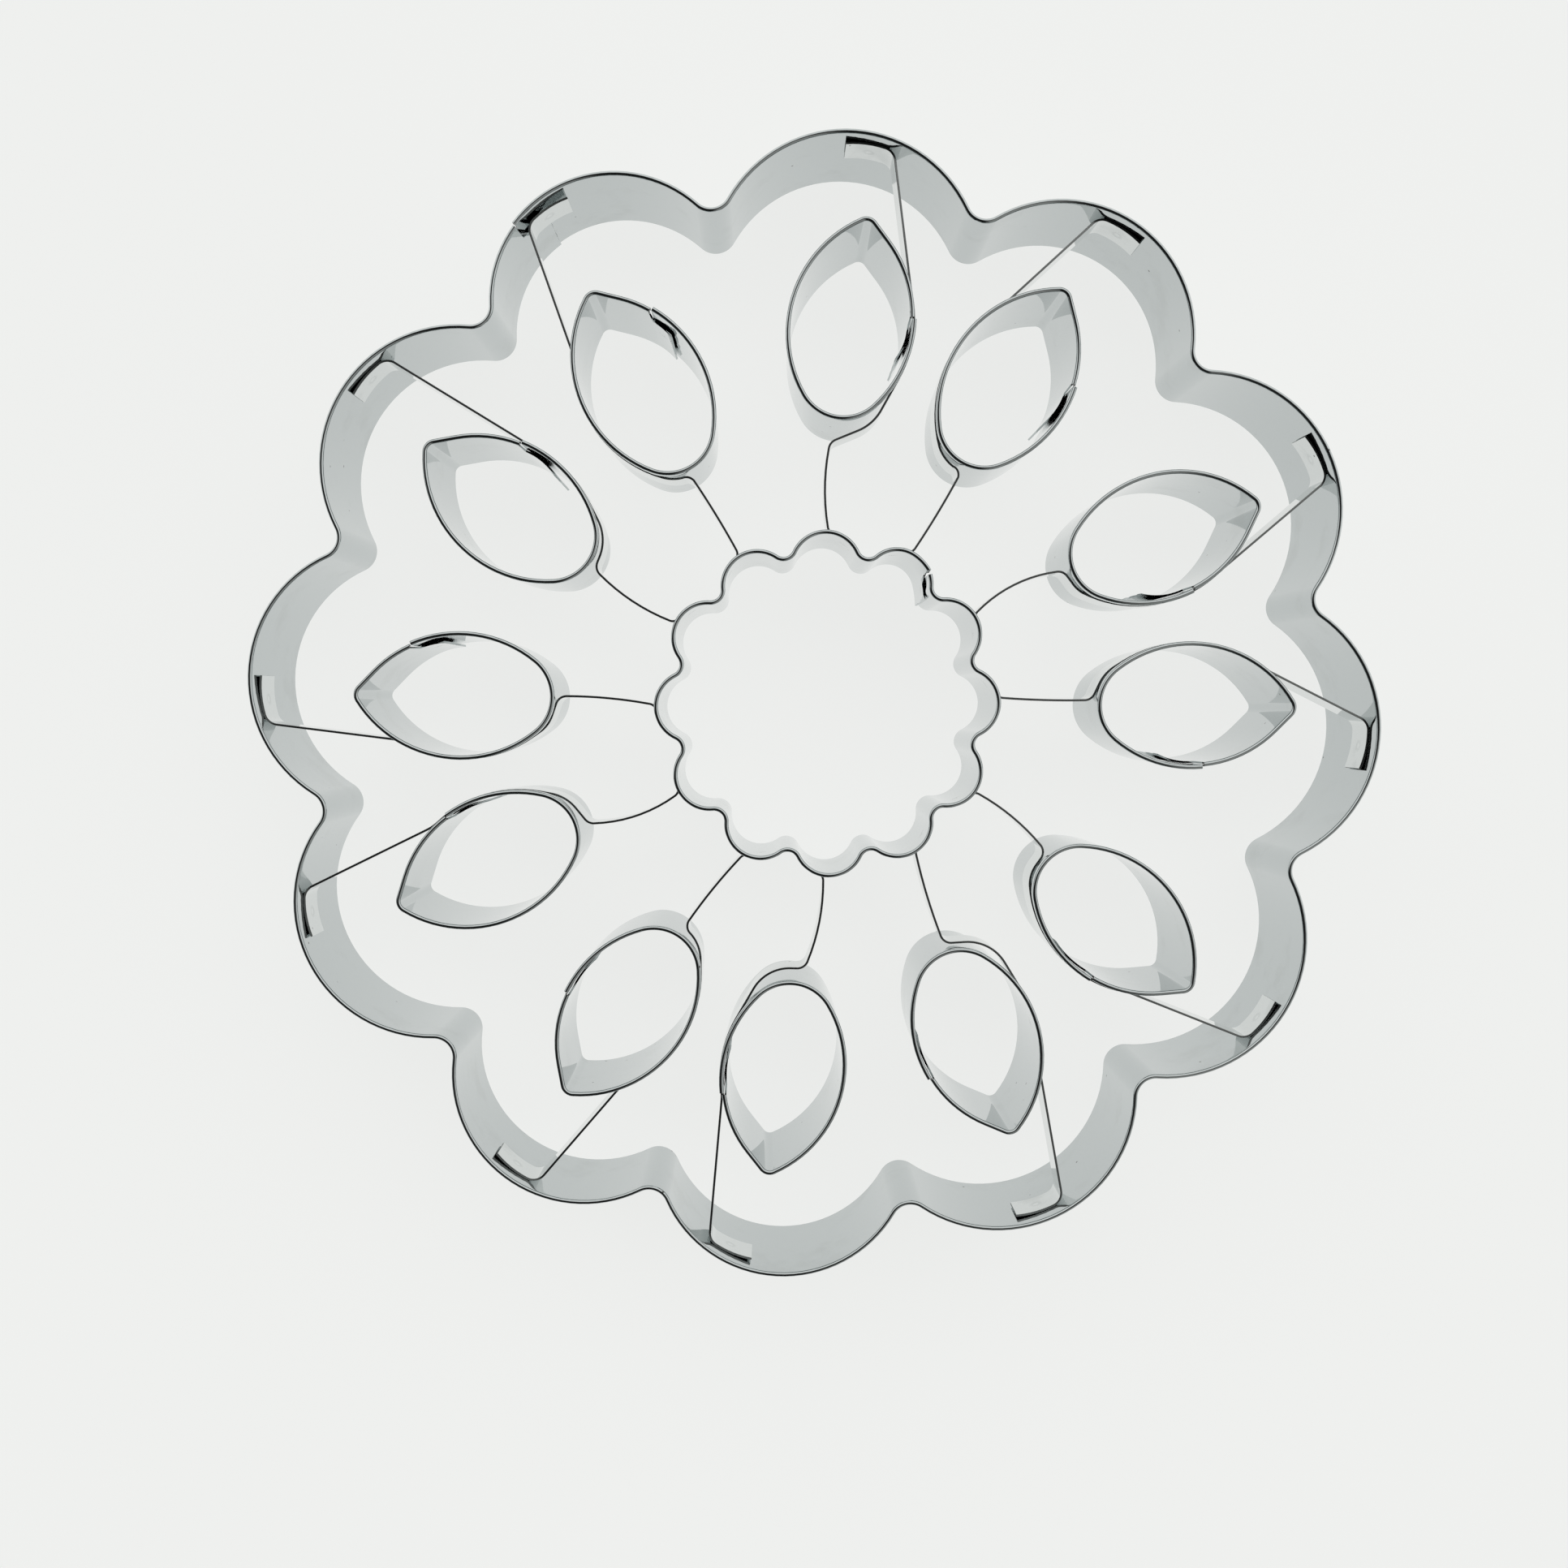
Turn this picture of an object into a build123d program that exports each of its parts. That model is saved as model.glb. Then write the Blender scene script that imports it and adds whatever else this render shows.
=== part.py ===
from build123d import *
import os
from math import asin, atan2, cos, degrees, hypot, pi, radians, sin, sqrt
from typing import NamedTuple

# Large flower cookie cutter bent from thin bright steel strip.
# Z is up: the cutting edges lie on Z = 0 and the folded rims are at the top.
# Bearings are degrees turned clockwise from +Y, seen from above.

# Strip and folded rim
sheet = 0.35
band_height = 25.0
hem_thickness = 0.8
hem_height = 1.5
hem_round = 0.2
seam_gap = 0.35
lap_gap = 0.05
overrun = 1.0
shortest_line = 0.0025
closeness = 0.0001

# Outer band: twelve lobes, each a little different, as bent by hand
flower_diameter = 200.0
lobe_radius = 23.0
notch_radius = 4.07
lobe_bearings = (0.15, 29.9, 59.8, 89.8, 120.35, 151.45, 180.85, 208.95, 239.55, 270.0, 300.25, 329.8)
lobe_reach_shares = (0.996, 1.010, 0.994, 0.983, 0.985, 1.002, 1.043, 1.019, 1.007, 0.998, 0.987, 1.029)
lobe_radius_shares = (1.001, 0.987, 1.030, 1.044, 1.044, 1.046, 0.966, 0.984, 1.019, 1.011, 1.024, 0.932)
band_seam_angle = -26.0
band_tongue = 6.4
band_tongue_drop = 7.0

# Petals: pointed leaves, round at the inner end
inner_x = 1.7
inner_y = 0.3
petal_outward = 1.305
petal_length = 33.6
petal_width = 21.0
petal_end_radius = 7.6
petal_tip_radius = 1.5
petal_bearings = (0.1, 25.95, 60.0, 86.7, 123.6, 152.3, 183.4, 209.9, 241.75, 267.9, 298.5, 326.4)
petal_turns = (5.5, 2.15, 7.3, 0.8, 4.0, 3.25, 1.35, 2.5, -1.75, -0.8, 3.9, -0.2)
petal_reach_shares = (1.021, 0.997, 1.006, 0.991, 0.985, 1.003, 1.018, 1.0, 1.008, 0.997, 1.002, 0.988)
petal_seam_angles = (7, 14, 7, 6, 10, 10.5, 14, 10, 9.5, 24, 14, 30)
petal_tongue = 8.0
petal_tongue_drop = 6.5
petal_tongue_shares = (1.03, 1.31, 1.0, 0.88, 1.0, 0.88, 0.88, 0.88, 0.88, 0.63, 0.88, 0.55)
petal_curl_shares = (0.55, 0.68, 0.6, 0.67, 0.99, 0.99, 0.99, 0.99, 0.99, 0.99, 0.62, 0.99)
cut_run = 1.2

# Centre band: twelve scallops
scallop_reach = 24.14
scallop_radius = 5.65
scallop_turn = -4.2
scallop_notch_radius = 2.6
centre_seam_scallop = 1
centre_seam_angle = 45.0
centre_seam_wide_share = 1.06
centre_bulge_share = 1.028
centre_bulge_radius_share = 0.903
centre_tongue = 4.1
centre_tongue_drop = 8.6
centre_curl_share = 8.0

# Struts: flat strips on edge from the outer band along each petal to the centre band
strut_thickness = 0.4
strut_height = 7.0
strut_drop = 3.5
weld_gap = 0.05
tab_length = 7.0
toe_length = 4.5
bend_radius = 2.5
kink_radius = 8.0
knee_radius = 2.0
heel_radius = 1.5
bow_radius = 40.0
strut_bend_angles = (21.5, 18, 15, 9.5, 19.5, 8, 37, 11, 35, 26, 24.5, 25)
strut_kink_angles = (4, 13, 4, 4, 11, 14, 12, 25, 17, 21, 4, 18)
elbow_angles = (-1, -20, 11, 35, 17, 74, 8, -5, -3, 37, 12, -1)
elbow_reach_shares = (0.28, 0.26, 0.38, 0.15, 0.34, 0.26, 0.35, 0.27, 0.22, 0.35, 0.15, 0.20)
elbow_radius_shares = (1.00, 0.86, 0.67, 0.87, 0.69, 0.95, 0.90, 0.86, 0.88, 0.67, 0.94, 0.87)
knee_angles = (-7, -4.5, -8.5, -14.5, -1.5, -13.5, -1.5, -9.5, 3, -10.5, -8, -14.5)
knee_reach_shares = (1.65, 1.26, 1.33, 1.30, 1.29, 1.36, 1.52, 1.35, 1.41, 1.28, 1.36, 1.28)
landing_angles = (15, 11, 7, 17, 16, 11, 19, 10, 10, 7, 6, 10)
bow_shares = (1.0, 3.8, 0.6, 4.0, 1.0, 2.65, 0.95, 2.5, 0.65, 2.1, 0.9, 3.8)

# Worked out from the sizes above
count = len(lobe_bearings)
lobe_step = 360 / count
lap = sheet + lap_gap
stand_off = sheet + weld_gap + strut_thickness / 2
lobe_reach = flower_diameter / 2 - hem_thickness - lobe_radius
petal_reach = (lobe_reach + lobe_radius + scallop_reach + scallop_radius) / 2 + petal_outward
strut_base = band_height - strut_drop - strut_height
hem_base = band_height - hem_height


class Bend(NamedTuple):
    """Round bend of a strip's centre path: sense is 1 when it turns left, -1 when it turns right."""

    x: float
    y: float
    radius: float
    sense: int


def away(spot, bearing, reach):
    """Spot at a reach from another spot, on a bearing."""
    return spot[0] + reach * sin(radians(bearing)), spot[1] + reach * cos(radians(bearing))


def bearing_to(spot, other):
    """Bearing from one spot to another."""
    return degrees(atan2(other[0] - spot[0], other[1] - spot[1]))


def bend_at(spot, radius, sense):
    """Bend round a spot."""
    return Bend(spot[0], spot[1], radius, sense)


def straight(first, second):
    """Touching points of the straight that leads from one bend into the next, and its heading."""
    dx, dy = second.x - first.x, second.y - first.y
    step = second.radius * second.sense - first.radius * first.sense
    run = sqrt(max(dx * dx + dy * dy - step * step, 0))
    heading = atan2(dy, dx) - atan2(step, run)
    nx, ny = -sin(heading), cos(heading)
    leave = (first.x - first.radius * first.sense * nx, first.y - first.radius * first.sense * ny)
    enter = (second.x - second.radius * second.sense * nx, second.y - second.radius * second.sense * ny)
    return leave, enter, run, (nx, ny)


def meeting(first, second, radius):
    """Bend that runs smoothly out of one bend and into another of the same sense, round both."""
    dx, dy = second.x - first.x, second.y - first.y
    gap = hypot(dx, dy)
    near, far = radius - first.radius, radius - second.radius
    along = (gap * gap + near * near - far * far) / (2 * gap)
    side = first.sense * sqrt(near * near - along * along)
    x = first.x + (along * dx - side * dy) / gap
    y = first.y + (along * dy + side * dx) / gap
    return Bend(x, y, radius, first.sense)


def draw_path(bends, first, last, shift):
    """Arcs and tangent straights through the bends, shifted to the left of the way they run."""
    rounds = [Bend(b.x, b.y, b.radius - b.sense * shift, b.sense) for b in bends]
    ways = [straight(a, b) for a, b in zip(rounds, rounds[1:])]
    begin = at = away(rounds[0], first, rounds[0].radius)
    for number, bend in enumerate(rounds):
        final = number == len(rounds) - 1
        leave = away(bend, last, bend.radius) if final else ways[number][0]
        start = atan2(at[1] - bend.y, at[0] - bend.x)
        swept = (atan2(leave[1] - bend.y, leave[0] - bend.x) - start) * bend.sense % (2 * pi)
        halfway = start + bend.sense * swept / 2
        middle = (bend.x + bend.radius * cos(halfway), bend.y + bend.radius * sin(halfway))
        ThreePointArc(at, middle, leave)
        at = leave
        if not final and ways[number][2] > shortest_line:
            at = ways[number][1]
            Line(leave, at)
    return begin, at


def draw_strip(bends, first, last, near, far):
    """Closed outline of a strip between two shifts of its path."""
    near_ends = draw_path(bends, first, last, near)
    far_ends = draw_path(bends, first, last, far)
    Line(near_ends[0], far_ends[0])
    Line(near_ends[1], far_ends[1])


def turned(bend, bearing, length):
    """Bearing reached by running a length round a bend from a bearing."""
    return bearing - bend.sense * degrees(length / bend.radius)


def curl_bend(bend, bearing, share):
    """Bend that leaves another one smoothly at a bearing, with a share of its radius."""
    radius = bend.radius * share
    return bend_at(away(bend, bearing, bend.radius - radius), radius, bend.sense)


def cut_plane(bend, bearing):
    """Upright plane touching a bend at a bearing, its X running clockwise along the strip."""
    spot = away(bend, bearing, bend.radius)
    ahead = away((0, 0), bearing + 90, 1)
    out = away((0, 0), bearing, 1)
    return Plane(origin=(spot[0], spot[1], 0), x_dir=(ahead[0], ahead[1], 0), z_dir=(out[0], out[1], 0))


def notch_between(first, second, radius):
    """Inward bend between two neighbouring lobes, rounded with its centre outside both."""
    dx, dy = second.x - first.x, second.y - first.y
    gap = hypot(dx, dy)
    near, far = first.radius + radius, second.radius + radius
    along = (gap * gap + near * near - far * far) / (2 * gap)
    side = sqrt(near * near - along * along)
    x = first.x + (along * dx - side * dy) / gap
    y = first.y + (along * dy + side * dx) / gap
    return Bend(x, y, radius, 1)


def lobed_path(lobes, radius):
    """Lobes with a notch between each two."""
    path = [lobes[0]]
    for lobe in lobes[1:]:
        path += [notch_between(path[-1], lobe, radius), lobe]
    return path


def slant_points(drop):
    """Outline of what the slanting cut takes off the strip's end above its tongue."""
    top, low = hem_base, band_height - drop
    far = cut_run + overrun
    return [(0, top), (0, top + overrun), (far, top + overrun), (far, low), (cut_run, low)]


def rim_edges(band):
    """Long edges of the folded rim's top, without the two across its ends."""
    across = [abs(edge.length - hem_thickness) for edge in band.faces().sort_by(Axis.Z)[-1].edges()]
    return [edge for edge, miss in zip(band.faces().sort_by(Axis.Z)[-1].edges(), across)
            if miss > closeness]


# The flower's own centre, set so that the part's box is centred on the origin
def lobe_at(number, centre):
    spot = away(centre, lobe_bearings[number], lobe_reach * lobe_reach_shares[number])
    return bend_at(spot, lobe_radius * lobe_radius_shares[number], -1)


top_lobe, right_lobe, low_lobe, left_lobe = [lobe_at(number, (0, 0)) for number in (0, 3, 6, 9)]
flower = ((left_lobe.radius - left_lobe.x - right_lobe.radius - right_lobe.x) / 2,
          (low_lobe.radius - low_lobe.y - top_lobe.radius - top_lobe.y) / 2)
inner = (flower[0] + inner_x, flower[1] + inner_y)

lobes = [lobe_at(number, flower) for number in range(count)]
seam_lobe = lobes[-1]
lapped_lobe = seam_lobe._replace(radius=seam_lobe.radius - lap)
band_path = lobed_path([seam_lobe] + lobes[:-1] + [lapped_lobe], notch_radius)
band_seam = lobe_bearings[-1] + band_seam_angle
band_end = turned(lapped_lobe, band_seam, -seam_gap)
band_cut = turned(lapped_lobe, band_end, cut_run)
band_tip = turned(lapped_lobe, band_end, band_tongue)

os.makedirs("parts", exist_ok=True)

# Outer band: one strip bent into lobes, folded rim outwards, end lapped inside at the seam
with BuildPart() as outer_band:
    with BuildSketch():
        with BuildLine():
            draw_strip([lapped_lobe], band_end, band_cut, 0, sheet)
        make_face()
    extrude(amount=hem_base)
    with BuildSketch(cut_plane(lapped_lobe, band_end)):
        with BuildLine():
            Polyline(slant_points(band_tongue_drop), close=True)
        make_face()
    extrude(amount=overrun, both=True, mode=Mode.SUBTRACT)
    with BuildSketch():
        with BuildLine():
            draw_strip([lapped_lobe], band_cut, band_tip, 0, sheet)
        make_face()
    extrude(amount=band_height - band_tongue_drop)
    with BuildSketch():
        with BuildLine():
            draw_strip(band_path, band_seam, band_end, 0, sheet)
        make_face()
    extrude(amount=band_height)
    with BuildSketch(Plane.XY.offset(hem_base)):
        with BuildLine():
            draw_strip(band_path, band_seam, band_end, 0, hem_thickness)
        make_face()
    extrude(amount=hem_height)
    chamfer(rim_edges(outer_band), length=hem_round)
outer_band.part.label = "outer_band"
export_step(outer_band.part, "parts/outer_band.step")

# Shape of one petal: two flank arcs that run smoothly into the round end and the tip
half_width = petal_width / 2


def flank_span(radius):
    """Length along the petal that a flank of this radius covers between its end rounds."""
    end = (half_width - petal_end_radius) * (2 * radius - petal_end_radius - half_width)
    tip = (half_width - petal_tip_radius) * (2 * radius - petal_tip_radius - half_width)
    return sqrt(max(end, 0)) + sqrt(max(tip, 0))


small, large = half_width, petal_length * petal_length
while large - small > closeness:
    flank_radius = (small + large) / 2
    if flank_span(flank_radius) < petal_length - petal_end_radius - petal_tip_radius:
        small = flank_radius
    else:
        large = flank_radius
flank_place = petal_end_radius + sqrt(
    (half_width - petal_end_radius) * (2 * flank_radius - petal_end_radius - half_width))
flank_aside = flank_radius - half_width

# Scallops of the centre band: one is bulged at the seam, and the strip's other end starts over it
scallops = []
for number in range(count):
    spot = away(inner, lobe_step * number + scallop_turn, scallop_reach)
    scallops.append(bend_at(spot, scallop_radius, -1))
seam_bearing = lobe_step * centre_seam_scallop + scallop_turn
wide_scallop = scallops[centre_seam_scallop]._replace(radius=scallop_radius * centre_seam_wide_share)
bulge_spot = away(inner, seam_bearing, scallop_reach * centre_bulge_share)
bulge = bend_at(bulge_spot, scallop_radius * centre_bulge_radius_share, -1)
scallops[centre_seam_scallop] = bulge

for number in range(count):
    odd = number % 2 == 0
    side = 1 if odd else -1
    sense = -side
    bearing = petal_bearings[number]
    aim = bearing + petal_turns[number]
    middle = away(inner, bearing, petal_reach * petal_reach_shares[number])
    base = away(middle, aim, -petal_length / 2)
    end_spot = away(base, aim, petal_end_radius)
    tip_spot = away(base, aim, petal_length - petal_tip_radius)
    flank_spot = away(base, aim, flank_place)
    seam_flank = bend_at(away(flank_spot, aim - 90, flank_aside), flank_radius, -1)
    plain_flank = bend_at(away(flank_spot, aim + 90, flank_aside), flank_radius, -1)
    end_round = bend_at(end_spot, petal_end_radius, -1)
    tip_round = bend_at(tip_spot, petal_tip_radius, -1)
    lapped_flank = seam_flank._replace(radius=flank_radius - lap)
    petal_path = [seam_flank, end_round, plain_flank, tip_round, lapped_flank]
    seam = aim + 90 - petal_seam_angles[number]
    finish = turned(lapped_flank, seam, -seam_gap)
    curl = curl_bend(lapped_flank, finish, petal_curl_shares[number])
    cut = turned(curl, finish, cut_run)
    tip = turned(curl, finish, petal_tongue * petal_tongue_shares[number])

    # Petal: a closed leaf with its folded rim outwards and its tongue lapped inside
    with BuildPart() as petal:
        with BuildSketch():
            with BuildLine():
                draw_strip([curl], finish, cut, 0, sheet)
            make_face()
        extrude(amount=hem_base)
        with BuildSketch(cut_plane(curl, finish)):
            with BuildLine():
                Polyline(slant_points(petal_tongue_drop), close=True)
            make_face()
        extrude(amount=overrun, both=True, mode=Mode.SUBTRACT)
        with BuildSketch():
            with BuildLine():
                draw_strip([curl], cut, tip, 0, sheet)
            make_face()
        extrude(amount=band_height - petal_tongue_drop)
        with BuildSketch():
            with BuildLine():
                draw_strip(petal_path, seam, finish, 0, sheet)
            make_face()
        extrude(amount=band_height)
        with BuildSketch(Plane.XY.offset(hem_base)):
            with BuildLine():
                draw_strip(petal_path, seam, finish, 0, hem_thickness)
            make_face()
        extrude(amount=hem_height)
        chamfer(rim_edges(petal), length=hem_round)
    name = f"petal_{number + 1:02d}"
    petal.part.label = name
    export_step(petal.part, f"parts/{name}.step")

    # Strut path, from its tab in the lobe along the petal's flank to the scallop
    lobe = lobes[number]
    inside = lap if lobe == seam_lobe else 0
    tab = lobe._replace(radius=lobe.radius - inside - weld_gap - strut_thickness / 2, sense=sense)
    fold = asin(bend_radius / (tab.radius - bend_radius))
    fold_bearing = lobe_bearings[number] + side * (strut_bend_angles[number] - degrees(fold))
    first_bend = bend_at(away(lobe, fold_bearing, tab.radius - bend_radius), bend_radius, sense)
    beside = seam_flank if odd else plain_flank
    hug = beside._replace(radius=flank_radius + stand_off, sense=sense)
    kink = radians(strut_kink_angles[number])
    both = hug.radius + kink_radius
    lean = straight(first_bend, hug._replace(radius=both * cos(kink) - kink_radius))[3]
    turn = -sense * kink
    nx = lean[0] * cos(turn) - lean[1] * sin(turn)
    ny = lean[0] * sin(turn) + lean[1] * cos(turn)
    kink_bend = Bend(hug.x - sense * both * nx, hug.y - sense * both * ny, kink_radius, -sense)
    elbow_spot = away(end_spot, aim + 180 - side * elbow_angles[number],
                      petal_end_radius * elbow_reach_shares[number])
    elbow = bend_at(elbow_spot, petal_end_radius * elbow_radius_shares[number] + stand_off, sense)
    knee_reach = petal_end_radius * knee_reach_shares[number] + stand_off
    knee = bend_at(away(end_spot, aim + 180 + side * knee_angles[number], knee_reach),
                   knee_radius, -sense)
    scallop = scallops[number]
    toe = scallop._replace(radius=scallop.radius + stand_off, sense=sense)
    heel_bearing = lobe_step * number + scallop_turn + side * landing_angles[number]
    heel = bend_at(away(scallop, heel_bearing, toe.radius + heel_radius), heel_radius, -sense)
    bow = meeting(knee, heel, bow_radius * bow_shares[number])
    strut_path = [tab, first_bend, kink_bend, hug, elbow, knee, bow, heel, toe]
    tab_start = turned(tab, fold_bearing, -tab_length)
    toe_end = turned(toe, heel_bearing, toe_length)

    # Strut: a narrow strip standing on edge
    with BuildPart() as strut:
        with BuildSketch(Plane.XY.offset(strut_base)):
            with BuildLine():
                draw_strip(strut_path, tab_start, toe_end, -strut_thickness / 2, strut_thickness / 2)
            make_face()
        extrude(amount=strut_height)
    name = f"strut_{number + 1:02d}"
    strut.part.label = name
    export_step(strut.part, f"parts/{name}.step")

# Centre band: scalloped strip with its seam on one scallop
others = [scallops[(centre_seam_scallop + step) % count] for step in range(1, count)]
centre_path = lobed_path([wide_scallop] + others + [bulge], scallop_notch_radius)
centre_start = seam_bearing + centre_seam_angle
start_spot = away(wide_scallop, centre_start, wide_scallop.radius)
centre_end = turned(bulge, bearing_to(bulge_spot, start_spot), -seam_gap)
centre_curl = curl_bend(bulge, centre_end, centre_curl_share)
centre_cut = turned(centre_curl, centre_end, cut_run)
centre_tip = turned(centre_curl, centre_end, centre_tongue)

with BuildPart() as centre_band:
    with BuildSketch():
        with BuildLine():
            draw_strip([centre_curl], centre_end, centre_cut, 0, sheet)
        make_face()
    extrude(amount=hem_base)
    with BuildSketch(cut_plane(centre_curl, centre_end)):
        with BuildLine():
            Polyline(slant_points(centre_tongue_drop), close=True)
        make_face()
    extrude(amount=overrun, both=True, mode=Mode.SUBTRACT)
    with BuildSketch():
        with BuildLine():
            draw_strip([centre_curl], centre_cut, centre_tip, 0, sheet)
        make_face()
    extrude(amount=band_height - centre_tongue_drop)
    with BuildSketch():
        with BuildLine():
            draw_strip(centre_path, centre_start, centre_end, 0, sheet)
        make_face()
    extrude(amount=band_height)
    with BuildSketch(Plane.XY.offset(hem_base)):
        with BuildLine():
            draw_strip(centre_path, centre_start, centre_end, 0, hem_thickness)
        make_face()
    extrude(amount=hem_height)
    chamfer(rim_edges(centre_band), length=hem_round)
centre_band.part.label = "centre_band"
export_step(centre_band.part, "parts/centre_band.step")
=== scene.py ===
"""Looks of the flower cookie cutter: bright steel strips with folded rims, lapped seams and spot welds."""

from math import asin, atan2, ceil, cos, degrees, hypot, pi, radians, sin, sqrt
from typing import NamedTuple

import bmesh
import bpy
from bpy.props import FloatProperty, FloatVectorProperty, PointerProperty
from bpy.types import Operator, Panel, PropertyGroup
from mathutils import Matrix, Vector


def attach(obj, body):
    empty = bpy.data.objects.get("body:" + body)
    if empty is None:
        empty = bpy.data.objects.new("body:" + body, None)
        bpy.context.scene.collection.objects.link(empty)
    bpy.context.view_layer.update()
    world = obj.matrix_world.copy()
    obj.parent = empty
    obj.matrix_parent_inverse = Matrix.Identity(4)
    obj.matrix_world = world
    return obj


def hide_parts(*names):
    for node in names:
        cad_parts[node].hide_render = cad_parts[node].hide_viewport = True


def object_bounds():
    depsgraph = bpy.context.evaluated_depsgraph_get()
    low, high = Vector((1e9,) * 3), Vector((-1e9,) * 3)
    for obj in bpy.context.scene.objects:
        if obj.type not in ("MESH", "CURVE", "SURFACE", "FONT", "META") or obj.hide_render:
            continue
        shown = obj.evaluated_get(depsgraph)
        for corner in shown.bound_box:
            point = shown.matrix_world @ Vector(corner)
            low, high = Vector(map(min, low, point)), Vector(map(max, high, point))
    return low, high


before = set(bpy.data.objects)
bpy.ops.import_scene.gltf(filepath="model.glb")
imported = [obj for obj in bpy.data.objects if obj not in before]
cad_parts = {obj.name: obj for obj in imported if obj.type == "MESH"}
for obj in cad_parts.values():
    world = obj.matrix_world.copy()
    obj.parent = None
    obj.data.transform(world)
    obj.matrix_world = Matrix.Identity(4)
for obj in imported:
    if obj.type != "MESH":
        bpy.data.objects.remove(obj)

bl_info = {
    "name": "Flower cookie cutter",
    "version": (1, 0, 0),
    "blender": (4, 5, 0),
    "location": "3D View > Sidebar > Cutter",
    "description": "Builds a flower cookie cutter from bent, folded and spot-welded steel strip",
    "category": "Object",
}

BODY = "root"
CAD_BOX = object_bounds()

# Outer band, one value for each lobe, clockwise from +Y
LOBE_BEARINGS = (0.15, 29.9, 59.8, 89.8, 120.35, 151.45, 180.85, 208.95, 239.55, 270.0, 300.25, 329.8)
LOBE_REACH_SHARES = (0.996, 1.010, 0.994, 0.983, 0.985, 1.002, 1.043, 1.019, 1.007, 0.998, 0.987, 1.029)
LOBE_RADIUS_SHARES = (1.001, 0.987, 1.030, 1.044, 1.044, 1.046, 0.966, 0.984, 1.019, 1.011, 1.024, 0.932)
BAND_SEAM_ANGLE = -26.0

# Petals, one value for each
PETAL_BEARINGS = (0.1, 25.95, 60.0, 86.7, 123.6, 152.3, 183.4, 209.9, 241.75, 267.9, 298.5, 326.4)
PETAL_TURNS = (5.5, 2.15, 7.3, 0.8, 4.0, 3.25, 1.35, 2.5, -1.75, -0.8, 3.9, -0.2)
PETAL_REACH_SHARES = (1.021, 0.997, 1.006, 0.991, 0.985, 1.003, 1.018, 1.0, 1.008, 0.997, 1.002, 0.988)
PETAL_SEAM_ANGLES = (7, 14, 7, 6, 10, 10.5, 14, 10, 9.5, 24, 14, 30)
PETAL_TONGUE_SHARES = (0.78, 0.81, 1.0, 0.88, 1.0, 0.88, 0.88, 0.88, 0.88, 0.63, 0.88, 0.55)
PETAL_CURL_SHARES = (0.55, 0.68, 0.6, 0.67, 0.99, 0.99, 0.99, 0.99, 0.99, 0.99, 0.62, 0.99)

# Centre band
SCALLOP_TURN = -4.2
CENTRE_SEAM_SCALLOP = 1
CENTRE_SEAM_ANGLE = 45.0
CENTRE_WIDE_SHARE = 1.06
CENTRE_BULGE_SHARE = 1.028
CENTRE_BULGE_RADIUS_SHARE = 0.903
CENTRE_CURL_SHARE = 8.0

# Struts, one value for each
STRUT_BEND_ANGLES = (21.5, 18, 15, 9.5, 19.5, 8, 37, 11, 35, 26, 24.5, 25)
STRUT_KINK_ANGLES = (4, 13, 4, 4, 11, 14, 12, 25, 17, 21, 4, 18)
ELBOW_ANGLES = (-1, -20, 11, 35, 17, 74, 8, -5, -3, 37, 12, -1)
ELBOW_REACH_SHARES = (0.28, 0.26, 0.38, 0.15, 0.34, 0.26, 0.35, 0.27, 0.22, 0.35, 0.15, 0.20)
ELBOW_RADIUS_SHARES = (1.00, 0.86, 0.67, 0.87, 0.69, 0.95, 0.90, 0.86, 0.88, 0.67, 0.94, 0.87)
KNEE_ANGLES = (-7, -4.5, -8.5, -14.5, -1.5, -13.5, -1.5, -9.5, 3, -10.5, -8, -14.5)
KNEE_REACH_SHARES = (1.65, 1.26, 1.33, 1.30, 1.29, 1.36, 1.52, 1.35, 1.41, 1.28, 1.36, 1.28)
LANDING_ANGLES = (15, 11, 7, 17, 16, 11, 19, 10, 10, 7, 6, 10)
BOW_SHARES = (1.0, 3.8, 0.6, 4.0, 1.0, 2.65, 0.95, 2.5, 0.65, 2.1, 0.9, 3.8)

COUNT = len(LOBE_BEARINGS)
STEP = 360 / COUNT

# Meshes
WALL_ROWS = 8
TURN_STEP = radians(4)
SHARP_ANGLE = radians(14)
SHORTEST_RUN = 1e-6
SAME_PLACE = 1e-7

# Torn ends: waves of the tear up the height, in turns per metre
TEAR_FINE = 2100
TEAR_COARSE = 900

# Finish: scales of the patterns, in repeats per metre
GRAIN_STRETCH = (60.0, 9000.0, 1.0)
CLOUD_SCALE = 95.0
FINE_SCALE = 900.0
SPECK_SCALE = 230.0
WAVE_SCALE = 120.0
WAVE_DEPTH = 0.00006
GRAIN_DEPTH = 0.00001

# Stage
FLOOR_HALF = 3.0
FLOOR_DROP = 0.0001
FLOOR_GLOW = 0.85
DARK_BEARING = 188
DARK_HEIGHT = radians(40)
DARK_INSIDE = radians(64)
DARK_OUTSIDE = radians(78)
DARK = (0.015, 0.015, 0.015, 1.0)
DIM = (0.34, 0.34, 0.33, 1.0)
BRIGHT = (1.0, 1.0, 0.985, 1.0)
BACKDROP = (0.87, 0.88, 0.87, 1.0)


def size(name, description, default):
    """Length property in metres, shown in the scene's unit."""
    return FloatProperty(
        name=name, description=description, default=default, min=0.0, precision=5, unit="LENGTH"
    )


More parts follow.
